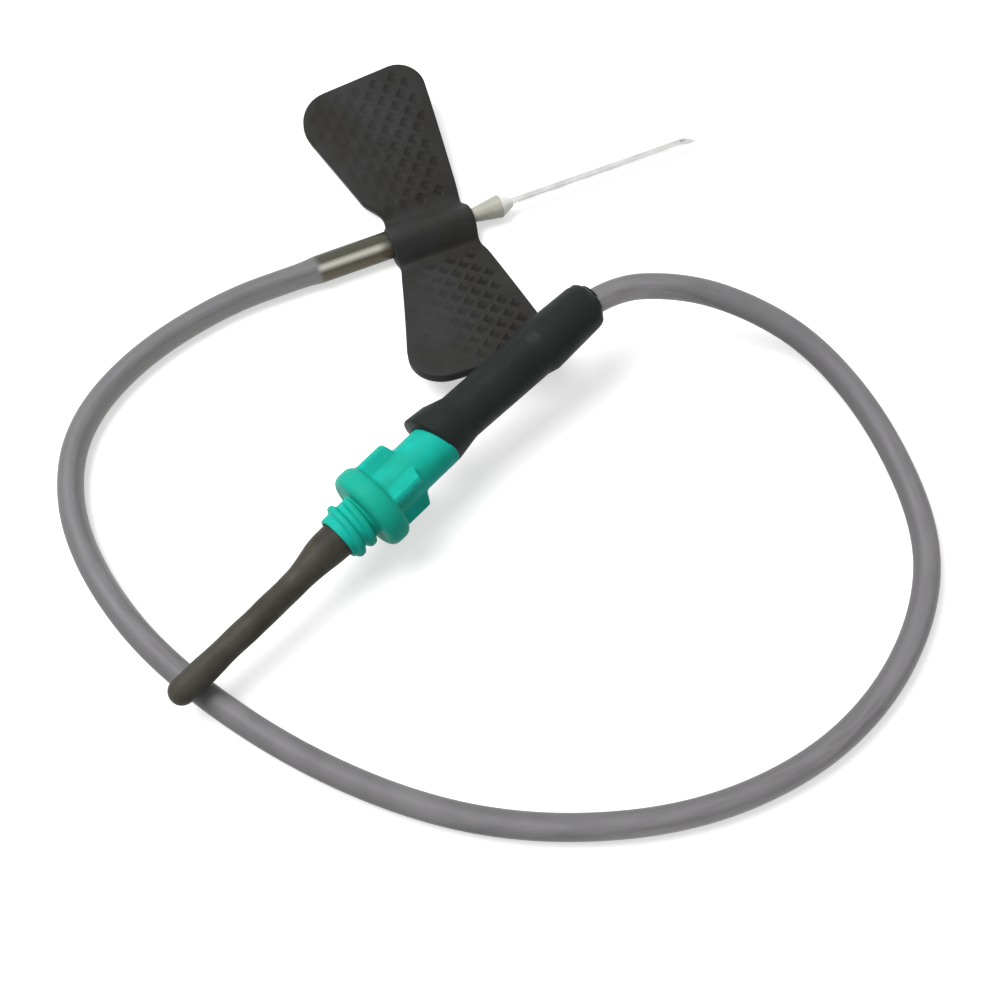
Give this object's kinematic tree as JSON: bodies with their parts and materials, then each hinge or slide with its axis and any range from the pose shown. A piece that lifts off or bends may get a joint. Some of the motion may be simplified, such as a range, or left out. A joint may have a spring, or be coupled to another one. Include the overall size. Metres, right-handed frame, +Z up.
{
  "type": "butterfly needle",
  "caption": "Winged blood collection needle: steel needle in soft black wings, clear tube, black socket connector, teal holder adapter and a rubber sleeve over the rear needle.",
  "frame": {"origin": "underside of the wings' root, straight below the front needle's axis and under the middle of the barrel", "axes": "+X along the front needle to its point, +Z up, +Y towards the wing that swings"},
  "size_m": [0.0673, 0.0747, 0.009],
  "materials": {
    "needle_steel": "drawn and polished stainless steel",
    "hub_plastic": "smooth pale moulding",
    "wing_vinyl": "soft black vinyl with small square dimples",
    "clear_vinyl": "clear extruded vinyl tube",
    "connector_vinyl": "smooth soft black vinyl",
    "teal_plastic": "smooth teal moulding",
    "sleeve_rubber": "matt dark rubber"
  },
  "bodies": {
    "set": {"front_cannula": "needle_steel", "needle_hub": "hub_plastic", "wing_body": "wing_vinyl", "tubing": "clear_vinyl", "socket_connector": "connector_vinyl"},
    "wing_flap": {"far_wing": "wing_vinyl"},
    "adapter": {"holder_adapter": "teal_plastic", "rear_cannula": "needle_steel", "rubber_sleeve": "sleeve_rubber"}
  },
  "joints": [
    {"name": "far_wing_fold", "type": "hinge", "parent": "set", "child": "wing_flap", "pos_m": [0, 0.0021, 0.0003], "axis": [1, 0, 0], "range_deg": [-13, 70], "stiffness_Nm_per_rad": 0.00056},
    {"name": "adapter_pull", "type": "slide", "parent": "set", "child": "adapter", "axis": [-0.9185, -0.388, -0.0767], "range_m": [0, 0.01]}
  ]
}
